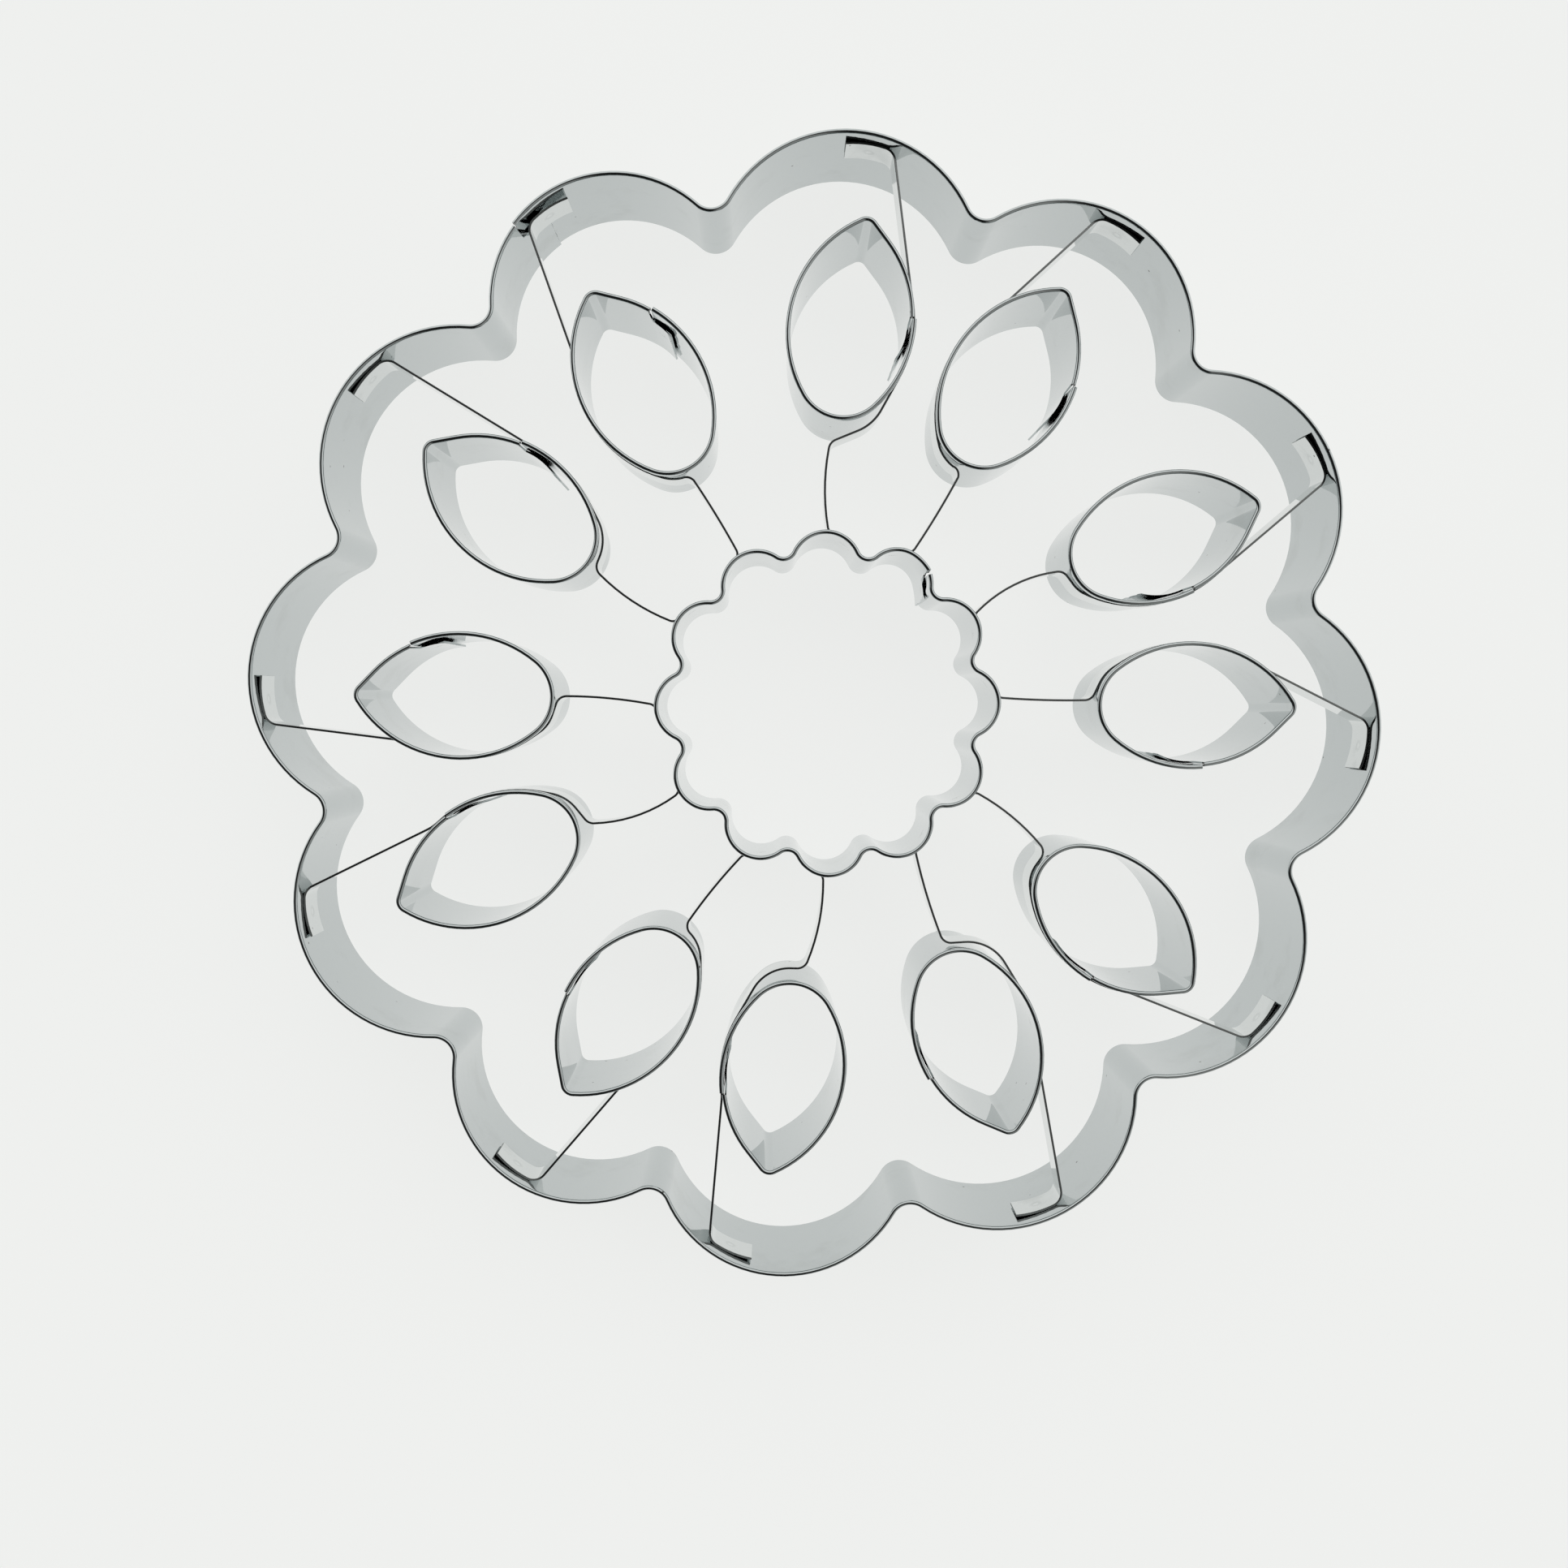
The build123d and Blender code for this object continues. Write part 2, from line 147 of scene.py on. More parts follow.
class CutterSizes(PropertyGroup):
    """Sizes of the strips and of the shapes they are bent to."""

    sheet: size("Sheet", "Thickness of the steel sheet", 0.00035)
    height: size("Band height", "From the cutting edge to the top of the folded rim", round(CAD_BOX[1].z, 5))
    rim_width: size("Rim width", "Thickness of the folded rim, across both layers", 0.0008)
    rim_height: size("Rim height", "How far the folded layer reaches down", 0.0015)
    edge_round: size("Edge rounding", "Rounding of the sheared edges", 0.00005)
    seam_gap: size("Seam gap", "Gap between the two rim ends at a seam", 0.00035)
    lap_gap: size("Lap gap", "Gap between a tongue and the wall it lies against", 0.00005)
    cut_run: size("Cut run", "Length of the steep cut that sets a tongue back from the rim", 0.00035)
    tear: size("Tear", "How ragged a torn tongue end is", 0.0002)
    tongue_spring: size("Tongue spring", "How far a tongue's free end stands off its wall", 0.0003)
    flower_diameter: size("Flower diameter", "Across two opposite lobes", 0.2)
    lobe_radius: size("Lobe radius", "Inner face of a lobe", 0.023)
    notch_radius: size("Notch radius", "Inner face of the bend between two lobes", 0.00407)
    band_tongue: size("Band tongue", "Length of the outer band's tongue", 0.0064)
    band_tongue_drop: size("Band tongue drop", "Tongue's top below the rim", 0.007)
    inner_x: size("Inner shift X", "The petals' common centre from the lobes' centre", 0.0017)
    inner_y: size("Inner shift Y", "The petals' common centre from the lobes' centre", 0.0003)
    petal_outward: size("Petal outward", "Petal middles outside the middle of the two bands", 0.001305)
    petal_length: size("Petal length", "From the round end to the tip", 0.0336)
    petal_width: size("Petal width", "Across both flanks", 0.021)
    petal_end_radius: size("Petal end radius", "Round inner end", 0.0076)
    petal_tip_radius: size("Petal tip radius", "Bend at the tip", 0.0015)
    petal_tongue: size("Petal tongue", "Length of a petal's tongue", 0.008)
    petal_tongue_drop: size("Petal tongue drop", "Tongue's top below the rim", 0.0065)
    scallop_reach: size("Scallop reach", "Centres of the scallops from the petals' common centre", 0.02414)
    scallop_radius: size("Scallop radius", "Inner face of a scallop", 0.00565)
    scallop_notch_radius: size("Scallop notch radius", "Bend between two scallops", 0.0026)
    centre_tongue: size("Centre tongue", "Length of the centre band's tongue", 0.0041)
    centre_tongue_drop: size("Centre tongue drop", "Tongue's top below the rim", 0.0086)
    strut_thickness: size("Strut thickness", "Thickness of a strut's strip", 0.0004)
    strut_height: size("Strut height", "Width of a strut's strip, standing on edge", 0.007)
    strut_drop: size("Strut drop", "Strut's top below the rim", 0.0035)
    weld_gap: size("Weld gap", "Gap at a spot weld", 0.00005)
    tab_length: size("Tab length", "Straight end welded into a lobe", 0.007)
    tab_spring: size("Tab spring", "How far a tab's free end stands off its lobe", 0.00028)
    weld_radius: size("Weld radius", "Dimple of a spot weld", 0.0009)
    weld_depth: size("Weld depth", "Depth of the dimple", 0.00005)
    flare: size("Centre flare", "How far the centre band's outer end springs open at its seam", 0.0006)
    flare_run: size("Centre flare run", "Length of the end that springs open", 0.004)
    toe_length: size("Toe length", "End welded onto a scallop", 0.0045)
    bend_radius: size("Bend radius", "Strut's first bend", 0.0025)
    kink_radius: size("Kink radius", "Bend where a strut meets its petal", 0.008)
    knee_radius: size("Knee radius", "Bend where a strut leaves its petal", 0.002)
    heel_radius: size("Heel radius", "Bend where a strut lands on a scallop", 0.0015)
    bow_radius: size("Bow radius", "Slack bow between petal and centre band", 0.04)
    ring_step: size("Ring step", "Longest run between two rings of a mesh", 0.002)


class CutterFinish(PropertyGroup):
    """Finish of the bright steel."""

    steel: FloatVectorProperty(
        name="Steel", description="Colour of the bright steel", subtype="COLOR",
        default=(0.53, 0.563, 0.565), min=0.0, max=1.0,
    )
    strut_steel: FloatVectorProperty(
        name="Strut steel", description="Colour of the brighter strip of the struts", subtype="COLOR",
        default=(0.68, 0.705, 0.7), min=0.0, max=1.0,
    )
    smear: FloatVectorProperty(
        name="Smear", description="Colour of faint smears on the steel", subtype="COLOR",
        default=(0.44, 0.465, 0.46), min=0.0, max=1.0,
    )
    # Near-black colour of the cut ends and sheared edges: partly duller cut steel, partly painted shade
    # standing in for the dark gaps under the hems, at the tongue ends and along the strut tops.
    cut: FloatVectorProperty(
        name="Torn ends", description="Colour of cut ends, half as strong on the sheared edges",
        subtype="COLOR",
        default=(0.09, 0.095, 0.09), min=0.0, max=1.0,
    )
    speck: FloatVectorProperty(
        name="Specks", description="Colour of the few dark specks", subtype="COLOR",
        default=(0.1, 0.1, 0.095), min=0.0, max=1.0,
    )
    roughness: FloatProperty(
        name="Roughness", description="Of the clean steel", subtype="FACTOR", default=0.05, min=0.0, max=1.0
    )


class StageLook(PropertyGroup):
    """Floor, light and camera."""

    floor: FloatVectorProperty(
        name="Floor", description="Colour of the floor", subtype="COLOR", default=(0.95, 0.96, 0.945),
        min=0.0, max=1.0,
    )
    sky: FloatProperty(name="Sky", description="Strength of the soft light all round", default=1.0, min=0.0)
    eye: FloatVectorProperty(
        name="Camera place", description="Camera place in the part's frame", subtype="TRANSLATION",
        unit="LENGTH", default=(-0.00836, 0.00078, 0.2958),
    )
    tilt_x: FloatProperty(name="Camera tilt X", description="Tilt about X", subtype="ANGLE", default=0.0499)
    tilt_y: FloatProperty(name="Camera tilt Y", description="Tilt about Y", subtype="ANGLE", default=0.0127)
    roll: FloatProperty(name="Camera roll", description="Roll about the view axis", subtype="ANGLE",
                        default=-0.0605)
    lens: FloatProperty(name="Lens", description="Focal length in millimetres on a 36 mm square",
                        default=35.336, min=1.0)


class Bend(NamedTuple):
    """Round bend of a strip: sense is 1 when it turns left, -1 when it turns right."""

    x: float
    y: float
    radius: float
    sense: int


def away(spot, bearing, reach):
    """Spot at a reach from another spot, on a bearing clockwise from +Y."""
    return spot[0] + reach * sin(radians(bearing)), spot[1] + reach * cos(radians(bearing))


def bend_at(spot, radius, sense):
    """Bend round a spot."""
    return Bend(spot[0], spot[1], radius, sense)


def straight(first, second):
    """Touching points of the straight that leads from one bend into the next, its run and its left side."""
    dx, dy = second.x - first.x, second.y - first.y
    step = second.radius * second.sense - first.radius * first.sense
    run = sqrt(max(dx * dx + dy * dy - step * step, 0))
    heading = atan2(dy, dx) - atan2(step, run)
    nx, ny = -sin(heading), cos(heading)
    leave = (first.x - first.radius * first.sense * nx, first.y - first.radius * first.sense * ny)
    enter = (second.x - second.radius * second.sense * nx, second.y - second.radius * second.sense * ny)
    return leave, enter, run, (nx, ny)


def two_circles(first, second, near, far, side):
    """Centre at given reaches from the centres of two bends, on one side of the line between them."""
    dx, dy = second.x - first.x, second.y - first.y
    gap = hypot(dx, dy)
    along = (gap * gap + near * near - far * far) / (2 * gap)
    aside = side * sqrt(near * near - along * along)
    return first.x + (along * dx - aside * dy) / gap, first.y + (along * dy + aside * dx) / gap


def notch_between(first, second, radius):
    """Inward bend between two neighbouring lobes."""
    return bend_at(two_circles(first, second, first.radius + radius, second.radius + radius, 1), radius, 1)


def meeting(first, second, radius):
    """Wide bend that runs smoothly out of one bend and into another of the same sense."""
    centre = two_circles(first, second, radius - first.radius, radius - second.radius, first.sense)
    return bend_at(centre, radius, first.sense)


def lobed_path(lobes, radius):
    """Lobes with a notch between each two."""
    path = [lobes[0]]
    for lobe in lobes[1:]:
        path += [notch_between(path[-1], lobe, radius), lobe]
    return path


def turned(bend, bearing, length):
    """Bearing reached by running a length round a bend from a bearing."""
    return bearing - bend.sense * degrees(length / bend.radius)


def curl_bend(bend, bearing, share):
    """Bend that leaves another one smoothly at a bearing, with a share of its radius."""
    radius = bend.radius * share
    return bend_at(away(bend, bearing, bend.radius - radius), radius, bend.sense)


def lobe_bends(sizes):
    """Bends of the twelve lobes, and the flower's own centre."""
    reach = sizes.flower_diameter / 2 - sizes.rim_width - sizes.lobe_radius

    def lobe_at(number, centre):
        spot = away(centre, LOBE_BEARINGS[number], reach * LOBE_REACH_SHARES[number])
        return bend_at(spot, sizes.lobe_radius * LOBE_RADIUS_SHARES[number], -1)

    top, right, low, left = [lobe_at(number, (0, 0)) for number in (0, 3, 6, 9)]
    flower = ((left.radius - left.x - right.radius - right.x) / 2,
              (low.radius - low.y - top.radius - top.y) / 2)
    return [lobe_at(number, flower) for number in range(COUNT)], flower


def inner_spot(sizes):
    """Common centre of the petals and of the centre band."""
    flower = lobe_bends(sizes)[1]
    return flower[0] + sizes.inner_x, flower[1] + sizes.inner_y


def scallop_bends(sizes):
    """Bends of the scallops, the bulged one at the seam, and the wide one that starts over it."""
    inner = inner_spot(sizes)
    scallops = [bend_at(away(inner, STEP * number + SCALLOP_TURN, sizes.scallop_reach),
                        sizes.scallop_radius, -1) for number in range(COUNT)]
    bearing = STEP * CENTRE_SEAM_SCALLOP + SCALLOP_TURN
    wide = scallops[CENTRE_SEAM_SCALLOP]._replace(radius=sizes.scallop_radius * CENTRE_WIDE_SHARE)
    bulge = bend_at(away(inner, bearing, sizes.scallop_reach * CENTRE_BULGE_SHARE),
                    sizes.scallop_radius * CENTRE_BULGE_RADIUS_SHARE, -1)
    scallops[CENTRE_SEAM_SCALLOP] = bulge
    return scallops, wide, bulge


class Petal(NamedTuple):
    """Bends of one petal, and the bearing of its long axis."""

    aim: float
    seam_flank: Bend
    end_round: Bend
    plain_flank: Bend
    tip_round: Bend


def flank_radius(sizes):
    """Radius at which both flanks run smoothly into the round end and the tip."""
    half = sizes.petal_width / 2

    def span(radius):
        end = (half - sizes.petal_end_radius) * (2 * radius - sizes.petal_end_radius - half)
        tip = (half - sizes.petal_tip_radius) * (2 * radius - sizes.petal_tip_radius - half)
        return sqrt(max(end, 0)) + sqrt(max(tip, 0))

    small, large = half, sizes.petal_length * 10
    for _ in range(60):
        middle = (small + large) / 2
        if span(middle) < sizes.petal_length - sizes.petal_end_radius - sizes.petal_tip_radius:
            small = middle
        else:
            large = middle
    return middle


def petal_bends(sizes, number):
    """Bends of one petal."""
    half = sizes.petal_width / 2
    radius = flank_radius(sizes)
    place = sizes.petal_end_radius + sqrt(
        (half - sizes.petal_end_radius) * (2 * radius - sizes.petal_end_radius - half))
    crest = sizes.flower_diameter / 2 - sizes.rim_width
    reach = (crest + sizes.scallop_reach + sizes.scallop_radius) / 2 + sizes.petal_outward
    aim = PETAL_BEARINGS[number] + PETAL_TURNS[number]
    middle = away(inner_spot(sizes), PETAL_BEARINGS[number], reach * PETAL_REACH_SHARES[number])
    base = away(middle, aim, -sizes.petal_length / 2)
    flank = away(base, aim, place)
    return Petal(
        aim,
        bend_at(away(flank, aim - 90, radius - half), radius, -1),
        bend_at(away(base, aim, sizes.petal_end_radius), sizes.petal_end_radius, -1),
        bend_at(away(flank, aim + 90, radius - half), radius, -1),
        bend_at(away(base, aim, sizes.petal_length - sizes.petal_tip_radius), sizes.petal_tip_radius, -1),
    )


def strut_bends(sizes, number):
    """Bends of one strut from its tab to its toe, the bearings where it starts and ends, and its two ends."""
    side = 1 if number % 2 == 0 else -1
    sense = -side
    petal = petal_bends(sizes, number)
    lobes = lobe_bends(sizes)[0]
    lobe = lobes[number]
    inside = sizes.sheet + sizes.lap_gap if number == COUNT - 1 else 0
    stand_off = sizes.sheet + sizes.weld_gap + sizes.strut_thickness / 2
    tab = lobe._replace(radius=lobe.radius - inside - sizes.weld_gap - sizes.strut_thickness / 2, sense=sense)
    fold = degrees(asin(sizes.bend_radius / (tab.radius - sizes.bend_radius)))
    fold_bearing = LOBE_BEARINGS[number] + side * (STRUT_BEND_ANGLES[number] - fold)
    first = bend_at(away(lobe, fold_bearing, tab.radius - sizes.bend_radius), sizes.bend_radius, sense)
    beside = petal.seam_flank if side > 0 else petal.plain_flank
    hug = beside._replace(radius=beside.radius + stand_off, sense=sense)
    kink = radians(STRUT_KINK_ANGLES[number])
    both = hug.radius + sizes.kink_radius
    lean = Vector(straight(first, hug._replace(radius=both * cos(kink) - sizes.kink_radius))[3])
    lean.rotate(Matrix.Rotation(-sense * kink, 2))
    kink_bend = Bend(hug.x - sense * both * lean.x, hug.y - sense * both * lean.y, sizes.kink_radius, -sense)
    end = petal.end_round
    elbow = bend_at(
        away(end, petal.aim + 180 - side * ELBOW_ANGLES[number], end.radius * ELBOW_REACH_SHARES[number]),
        end.radius * ELBOW_RADIUS_SHARES[number] + stand_off, sense)
    knee = bend_at(
        away(end, petal.aim + 180 + side * KNEE_ANGLES[number],
             end.radius * KNEE_REACH_SHARES[number] + stand_off),
        sizes.knee_radius, -sense)
    scallop = scallop_bends(sizes)[0][number]
    toe = scallop._replace(radius=scallop.radius + stand_off, sense=sense)
    heel_bearing = STEP * number + SCALLOP_TURN + side * LANDING_ANGLES[number]
    heel = bend_at(away(scallop, heel_bearing, toe.radius + sizes.heel_radius), sizes.heel_radius, -sense)
    bow = meeting(knee, heel, sizes.bow_radius * BOW_SHARES[number])
    sprung = curl_bend(tab, fold_bearing, 1 / (1 + 2 * sizes.tab_spring * tab.radius / sizes.tab_length ** 2))
    path = [sprung, first, kink_bend, hug, elbow, knee, bow, heel, toe]
    return path, turned(sprung, fold_bearing, -sizes.tab_length), turned(toe, heel_bearing, sizes.toe_length)


def strut_welds(sizes, number):
    """Spot welds of one strut: in its lobe, on its petal and on its scallop."""
    path, first, last = strut_bends(sizes, number)
    tab, toe = path[0], path[-1]
    flank = [straight(path[2], path[3])[1], straight(path[3], path[4])[0]]
    height = sizes.height - sizes.strut_drop - sizes.strut_height / 2
    places = (away(tab, turned(tab, first, sizes.tab_length * 0.6), tab.radius),
              ((flank[0][0] + flank[1][0]) / 2, (flank[0][1] + flank[1][1]) / 2),
              away(toe, turned(toe, last, -sizes.toe_length / 2), toe.radius))
    return [Vector((*place, height)) for place in places]


def corner(centre, radius, first, last, count):
    """Points of a rounded corner of a section, between two angles in degrees."""
    turns = [radians(first + (last - first) * step / count) for step in range(count + 1)]
    return [(centre[0] + radius * cos(turn), centre[1] + radius * sin(turn)) for turn in turns]


def rows(low, high, count):
    """Heights between two heights, without the two themselves."""
    return [low + (high - low) * step / (count + 1) for step in range(1, count + 1)]


class Section(NamedTuple):
    """Outline of a strip's section as (aside, up), where its wall meets the fold, and its sheared edges."""

    points: list
    low: int
    high: int
    sheared: tuple


def wall_section(sizes):
    """Section of a strip with a folded rim."""
    edge, fold = sizes.edge_round, sizes.rim_width / 2
    inside = fold - sizes.sheet
    base = sizes.height - sizes.rim_height
    crown = sizes.height - fold
    points = corner((edge, edge), edge, 270, 180, 2)
    points += [(0, up) for up in rows(edge, base, WALL_ROWS)] + [(0, base)]
    low = len(points) - 1
    points += [(0, up) for up in rows(base, crown, 1)]
    points += corner((fold, crown), fold, 180, 0, 14)
    hem = len(points)
    points += corner((2 * fold - edge, base + edge), edge, 0, -90, 2)
    points += corner((2 * fold - sizes.sheet + edge, base + edge), edge, 270, 180, 2)
    hem_edge = set(range(hem, len(points)))
    points += corner((fold, crown), inside, 0, 180, 4)
    points += [(sizes.sheet, base)]
    high = len(points) - 1
    points += [(sizes.sheet, up) for up in reversed(rows(edge, base, WALL_ROWS))]
    points += corner((sizes.sheet - edge, edge), edge, 0, -90, 2)
    cutting_edge = {0, 1, 2, *range(len(points) - 3, len(points))}
    return Section(points, low, high, (hem_edge, cutting_edge, {low, high}))


def strut_section(sizes):
    """Section of a strut's strip, with its sheared edges rounded."""
    half, edge = sizes.strut_thickness / 2, sizes.edge_round
    top = sizes.height - sizes.strut_drop
    low = top - sizes.strut_height
    points = corner((edge - half, low + edge), edge, 270, 180, 2)
    points += [(-half, up) for up in rows(low + edge, top - edge, 2)]
    upper = len(points)
    points += corner((edge - half, top - edge), edge, 180, 90, 3)
    points += corner((half - edge, top - edge), edge, 90, 0, 3)
    upper_edge = set(range(upper, len(points)))
    points += [(half, up) for up in reversed(rows(low + edge, top - edge, 2))]
    points += corner((half - edge, low + edge), edge, 0, -90, 2)
    lower_edge = {0, 1, 2, *range(len(points) - 3, len(points))}
    return Section(points, 0, 0, (upper_edge, lower_edge))


class Strip:
    """Closed section carried along a path of bends, so that every ring keeps the sheet's thickness."""

    def __init__(self, section, bend, bearing, step):
        self.section = section
        self.step = step
        self.run = 0.0
        self.welds = []
        self.mesh = bmesh.new()
        self.spot = self.mesh.verts.layers.int.new("spot")
        self.along = self.mesh.verts.layers.float.new("along")
        at = away(bend, bearing, bend.radius)
        left = away((0, 0), bearing, -bend.sense)
        ring = [self.mesh.verts.new((at[0] + aside * left[0], at[1] + aside * left[1], up))
                for aside, up in section.points]
        for number, vert in enumerate(ring):
            vert[self.spot] = number
        self.front = ring + [self.mesh.edges.new(pair) for pair in zip(ring, ring[1:] + ring[:1])]

    def carry(self, length, push, angle=0.0, **turn):
        """Spins and pushes the front ring on over a length."""
        count = max(ceil(length / self.step), ceil(abs(angle) / TURN_STEP), 1)
        before = len(self.mesh.verts)
        self.front = bmesh.ops.spin(
            self.mesh, geom=self.front, steps=count, angle=angle, dvec=push / count, **turn)["geom_last"]
        self.mesh.verts.ensure_lookup_table()
        ring = (len(self.mesh.verts) - before) // count
        for number, vert in enumerate(self.mesh.verts[before:]):
            vert[self.along] = self.run + length * (number // ring + 1) / count
        self.run += length

    def follow(self, bends, first, last):
        """Carries the section round the bends and along the straights between them."""
        ways = [straight(a, b) for a, b in zip(bends, bends[1:])]
        at = away(bends[0], first, bends[0].radius)
        for number, bend in enumerate(bends):
            final = number == len(bends) - 1
            leave = away(bend, last, bend.radius) if final else ways[number][0]
            start = atan2(at[1] - bend.y, at[0] - bend.x)
            swept = (atan2(leave[1] - bend.y, leave[0] - bend.x) - start) * bend.sense % (2 * pi)
            off = hypot(at[0] - bend.x, at[1] - bend.y) - bend.radius
            self.carry(swept * bend.radius, Vector((-off * cos(start), -off * sin(start), 0)), swept,
                       cent=(bend.x, bend.y, 0), axis=(0, 0, bend.sense))
            at = leave
            if not final and ways[number][2] > SHORTEST_RUN:
                at = ways[number][1]
                push = Vector((at[0] - leave[0], at[1] - leave[1], 0))
                self.carry(push.length, push, cent=(0, 0, 0), axis=(0, 0, 1))

    def drop_rim(self):
        """Closes the rim at its end and leaves only the wall at the front."""
        low, high = self.section.low, self.section.high
        verts = {vert[self.spot]: vert for vert in self.front if isinstance(vert, bmesh.types.BMVert)}
        self.mesh.faces.new([verts[spot] for spot in range(low, high + 1)])
        kept = [vert for spot, vert in verts.items() if spot <= low or spot >= high]
        edges = [edge for edge in self.front if isinstance(edge, bmesh.types.BMEdge)
                 and all(vert in kept for vert in edge.verts)]
        self.front = kept + edges

    def slant(self, start, full, low, run):
        """Lowers a tongue's top over a short run, from its full height to its low one."""
        for vert in self.mesh.verts:
            gone = vert[self.along] - start
            if gone > SAME_PLACE:
                top = full - (full - low) * min(gone / run, 1)
                vert.co.z *= top / full

    def tear(self, depth):
        """Leaves the last end a little ragged, as it was torn off."""
        for vert in self.front:
            if isinstance(vert, bmesh.types.BMVert):
                before = next(other for other in (edge.other_vert(vert) for edge in vert.link_edges)
                              if other[self.spot] == vert[self.spot])
                wave = sin(TEAR_FINE * vert.co.z) * sin(TEAR_COARSE * vert.co.z + 1)
                vert.co += (vert.co - before.co).normalized() * depth * wave

    def flare(self, push, end, length, height):
        """Springs the rim outwards where it ends at a seam."""
        for vert in self.mesh.verts:
            near = 1 - (end - vert[self.along]) / length
            if 0 < near <= 1:
                vert.co += Vector((*push, 0)) * near ** 2 * (vert.co.z / height) ** 8

    def weld(self, spots):
        """Notes the spot welds, each with its place along the strip."""
        for spot in spots:
            near = min(self.mesh.verts, key=lambda vert: (vert.co.xy - spot.xy).length)
            ahead = next(other for other in (edge.other_vert(near) for edge in near.link_edges)
                         if other[self.spot] == near[self.spot])
            way = (ahead.co - near.co).xy
            share = (spot.xy - near.co.xy).dot(way) / way.length_squared
            self.welds.append((spot, near[self.along] + share * (ahead[self.along] - near[self.along])))

    def dullness_and_gap_shade(self, face):
        """1 on a cut or torn end, half on a sheared edge, 0 on the bright faces; it masks duller cut steel
        together with painted shade of the gaps along these edges.
        """
        spots = {vert[self.spot] for vert in face.verts}
        along = [vert[self.along] for vert in face.verts]
        if max(along) - min(along) < SAME_PLACE:
            return 1.0
        return 0.5 * any(spots <= edge for edge in self.section.sheared)

    def piece(self, name, node, material):
        """Closes the strip, maps it along its length, and puts it in the place of its node."""
        bmesh.ops.holes_fill(self.mesh, edges=self.mesh.edges, sides=0)
        bmesh.ops.recalc_face_normals(self.mesh, faces=self.mesh.faces)
        grain = self.mesh.loops.layers.uv.new("grain")
        weld = self.mesh.loops.layers.uv.new("weld")
        sheared = self.mesh.faces.layers.float.new("sheared")
        for face in self.mesh.faces:
            face.smooth = True
            # Cut ends get 1 and sheared edges half: a mask of duller cut steel and of painted gap shade.
            face[sheared] = self.dullness_and_gap_shade(face)
            middle = face.calc_center_median()
            spot, place = min(self.welds, key=lambda one: (one[0] - middle).length)
            for loop in face.loops:
                loop[grain].uv = (loop.vert[self.along], loop.vert.co.z)
                loop[weld].uv = (loop.vert[self.along] - place, loop.vert.co.z - spot.z)
        mesh = bpy.data.meshes.new(name)
        self.mesh.to_mesh(mesh)
        self.mesh.free()
        mesh.set_sharp_from_angle(angle=SHARP_ANGLE)
        mesh.materials.append(material)
        thing = bpy.data.objects.new(name, mesh)
        bpy.context.scene.collection.objects.link(thing)
        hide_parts(node)
        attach(thing, BODY)
        return thing


class Signal:
    """Wraps a socket so that shader maths reads as an expression."""

    def __init__(self, tree, socket):
        self.tree = tree
        self.socket = socket

    def maths(self, operation, *values):
        return self.tree.node("ShaderNodeMath", {"operation": operation}, *values)

    def __add__(self, other):
        return self.maths("ADD", self, other)

    def __sub__(self, other):
        return self.maths("SUBTRACT", self, other)

    def __rsub__(self, other):
        return self.maths("SUBTRACT", other, self)

    def __mul__(self, other):
        return self.maths("MULTIPLY", self, other)

    def __truediv__(self, other):
        return self.maths("DIVIDE", self, other)

    def above(self, low, high):
        """0 below the low value, 1 above the high one, smooth between."""
        return self.tree.node("ShaderNodeMapRange", {"interpolation_type": "SMOOTHSTEP"}, self, low, high)

    def most(self, other):
        return self.maths("MAXIMUM", self, other)


class NodeTree:
    """Node tree of a material or of the world, filled by one method."""

    def __init__(self, owner):
        owner.use_nodes = True
        self.tree = owner.node_tree
        self.tree.nodes.clear()

    def node(self, kind, settings=None, *values, output=0, **named):
        """Adds a node: settings first, then its inputs by order or by name."""
        node = self.tree.nodes.new(kind)
        for key, value in (settings or {}).items():
            setattr(node, key, value)
        for key, value in [*enumerate(values), *named.items()]:
            socket = node.inputs[key if isinstance(key, int) else key.replace("_", " ")]
            if isinstance(value, Signal):
                self.tree.links.new(value.socket, socket)
            elif value is not None:
                socket.default_value = value
        return Signal(self, node.outputs[output]) if node.outputs else node

    def mix(self, factor, first, second):
        """Mix of two colours."""
        node = self.tree.nodes.new("ShaderNodeMix")
        node.data_type = "RGBA"
        for socket, value in zip((node.inputs[0], node.inputs[6], node.inputs[7]), (factor, first, second)):
            if isinstance(value, Signal):
                self.tree.links.new(value.socket, socket)
            else:
                socket.default_value = value
        return Signal(self, node.outputs[2])


def rgba(colour):
    """Colour property as four numbers."""
    return (*colour, 1.0)


